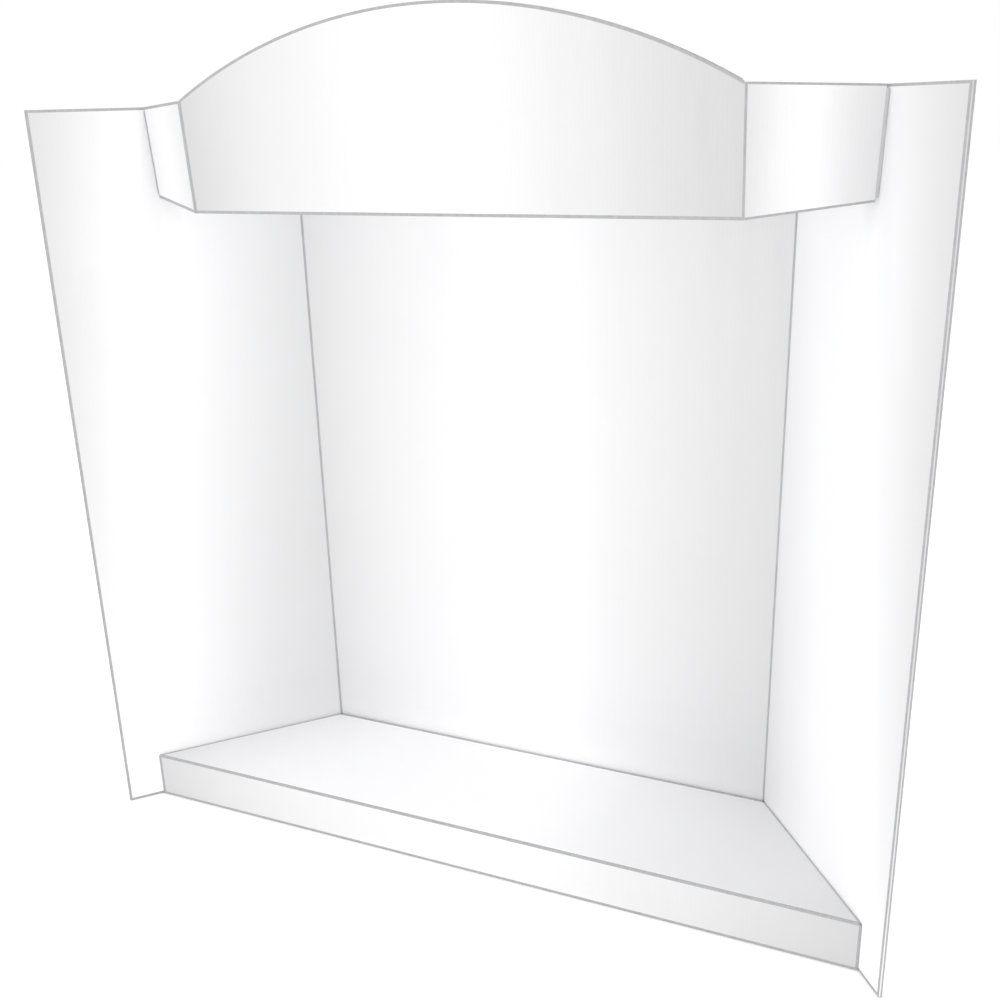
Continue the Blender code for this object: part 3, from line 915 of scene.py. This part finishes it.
def build_loop_coin(node):
    """A napped disc: a domed pile surface, roughened ring by ring."""
    centre, normal = coin_frame(node)
    across = normal.cross(Z).normalized()
    shape = bmesh.new()
    levels = []
    for ring in range(LOOP_RINGS + 1):
        share = ring / LOOP_RINGS
        row = []
        for k in range(LOOP_SPOKES):
            angle = 2 * math.pi * k / LOOP_SPOKES
            nap = 0.5 + 0.5 * math.sin(ring * 2.4 + 5.1 * math.sin(k * 1.9)) * math.cos(k * 2.7)
            drop = 0.5 * COIN_THICKNESS * share**8
            height = COIN_THICKNESS * (0.5 - NAP_DEPTH * nap) - drop
            reach = COIN_RADIUS * share
            spot = centre + across * (reach * math.cos(angle)) + Z * (reach * math.sin(angle))
            row.append(shape.verts.new(spot + normal * height))
        levels.append(row)
    back = [
        shape.verts.new(v.co - normal * (v.co - centre).dot(normal) - normal * COIN_THICKNESS / 2)
        for v in levels[-1]
    ]
    levels.append(back)
    for inner_row, outer_row in zip(levels, levels[1:]):
        for k in range(LOOP_SPOKES):
            j = (k + 1) % LOOP_SPOKES
            shape.faces.new((inner_row[k], inner_row[j], outer_row[j], outer_row[k]))
    shape.faces.new(back[::-1])
    bmesh.ops.remove_doubles(shape, verts=shape.verts, dist=0.001 * MM)
    make_coin(f"{node}_nylon", node, shape, LOOP)


def make_coin(name, node, shape, material):
    coin = make_object(name, shape, (material,))
    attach(coin, body_of(node))
    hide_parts(node)


def build_coins():
    for node in sorted(frame["nodes"]):
        if node.endswith("hook_coin"):
            build_hook_coin(node)
        elif node.endswith("loop_coin"):
            build_loop_coin(node)


# ---------------------------------------------------------------- stage

SOFTBOXES = (
    # name, place, target, width and height, power
    ("front_softbox", (0.0, -3.4, 0.6), (0.0, 0.0, 0.45), (1.6, 1.0), 18.0),
    ("left_softbox", (-2.9, -1.3, 0.5), (0.0, 0.0, 0.45), (1.6, 0.9), 6.5),
    ("right_softbox", (2.6, -1.7, 0.5), (0.0, 0.0, 0.45), (1.6, 0.9), 4.2),
    ("top_softbox", (0.0, 0.01, 2.6), (0.0, 0.0, 0.0), (0.6, 0.1), 14.0),
    ("rear_softbox", (0.0, 3.2, 0.7), (0.0, 0.0, 0.45), (1.8, 1.0), 8.0),
)
FLOOR_GLOW = 0.12  # floor's own light, which keeps it white


def build_stage():
    bpy.ops.mesh.primitive_plane_add(size=FLOOR_SIZE, location=(0.0, 0.0, -FLOOR_DROP))
    floor = bpy.context.object
    floor.name = "floor"
    material, _, shader = node_tree("floor_white")
    shader.inputs["Base Color"].default_value = (0.93, 0.93, 0.93, 1.0)
    shader.inputs["Roughness"].default_value = 0.9
    shader.inputs["Specular IOR Level"].default_value = 0.0
    shader.inputs["Emission Color"].default_value = (1.0, 1.0, 1.0, 1.0)
    shader.inputs["Emission Strength"].default_value = FLOOR_GLOW
    floor.data.materials.append(material)
    build_world()
    for name, place, target, size, power in SOFTBOXES:
        add_softbox(name, place, target, size, power)
    bpy.context.scene.view_settings.view_transform = "Standard"


def build_world():
    """An evenly white studio."""
    world = bpy.data.worlds.new("studio")
    bpy.context.scene.world = world
    world.use_nodes = True
    backdrop = world.node_tree.nodes["Background"]
    backdrop.inputs["Color"].default_value = (1.0, 1.0, 1.0, 1.0)
    backdrop.inputs["Strength"].default_value = 1.0


def add_softbox(name, place, target, size, power):
    lamp = bpy.data.lights.new(name, "AREA")
    lamp.shape = "RECTANGLE"
    lamp.size, lamp.size_y = size
    lamp.energy = power
    light = bpy.data.objects.new(name, lamp)
    bpy.context.scene.collection.objects.link(light)
    light.location = place
    aim = Vector(target) - Vector(place)
    light.rotation_euler = aim.to_track_quat("-Z", "Y").to_euler()
    light.visible_camera = False


# The camera stands to the right of the middle, as high as the wings, looking down to the left.
CAMERA_AHEAD = 1337.9 * MM  # in front of the back panel's inner face
CAMERA_RIGHT = 627.4 * MM
CAMERA_UP = 853.5 * MM
CAMERA_TURN = math.radians(26.59)
CAMERA_TILT = math.radians(21.55)
CAMERA_ROLL = math.radians(-1.58)
CAMERA_LENS = 45.36
CAMERA_SHIFT = (-0.0039, 0.1051)


def build_camera():
    lens = bpy.data.cameras.new("camera")
    lens.lens = CAMERA_LENS
    lens.sensor_width = 36.0
    lens.shift_x, lens.shift_y = CAMERA_SHIFT
    camera = bpy.data.objects.new("camera", lens)
    bpy.context.scene.collection.objects.link(camera)
    aim = Vector((
        -math.sin(CAMERA_TURN) * math.cos(CAMERA_TILT),
        math.cos(CAMERA_TURN) * math.cos(CAMERA_TILT),
        -math.sin(CAMERA_TILT),
    ))
    level = Vector((math.cos(CAMERA_TURN), math.sin(CAMERA_TURN), 0.0))
    upward = level.cross(aim)
    right = math.cos(CAMERA_ROLL) * level + math.sin(CAMERA_ROLL) * upward
    top = -math.sin(CAMERA_ROLL) * level + math.cos(CAMERA_ROLL) * upward
    turn = Matrix((right, top, -aim)).transposed().to_4x4()
    place = Vector((CAMERA_RIGHT, BACK_Y - CAMERA_AHEAD, CAMERA_UP))
    camera.matrix_world = Matrix.Translation(place) @ turn
    bpy.context.scene.camera = camera


build_camera()
build_stage()
build_surround()
build_header()
build_deck()
build_skirts()
build_ears()
build_coins()
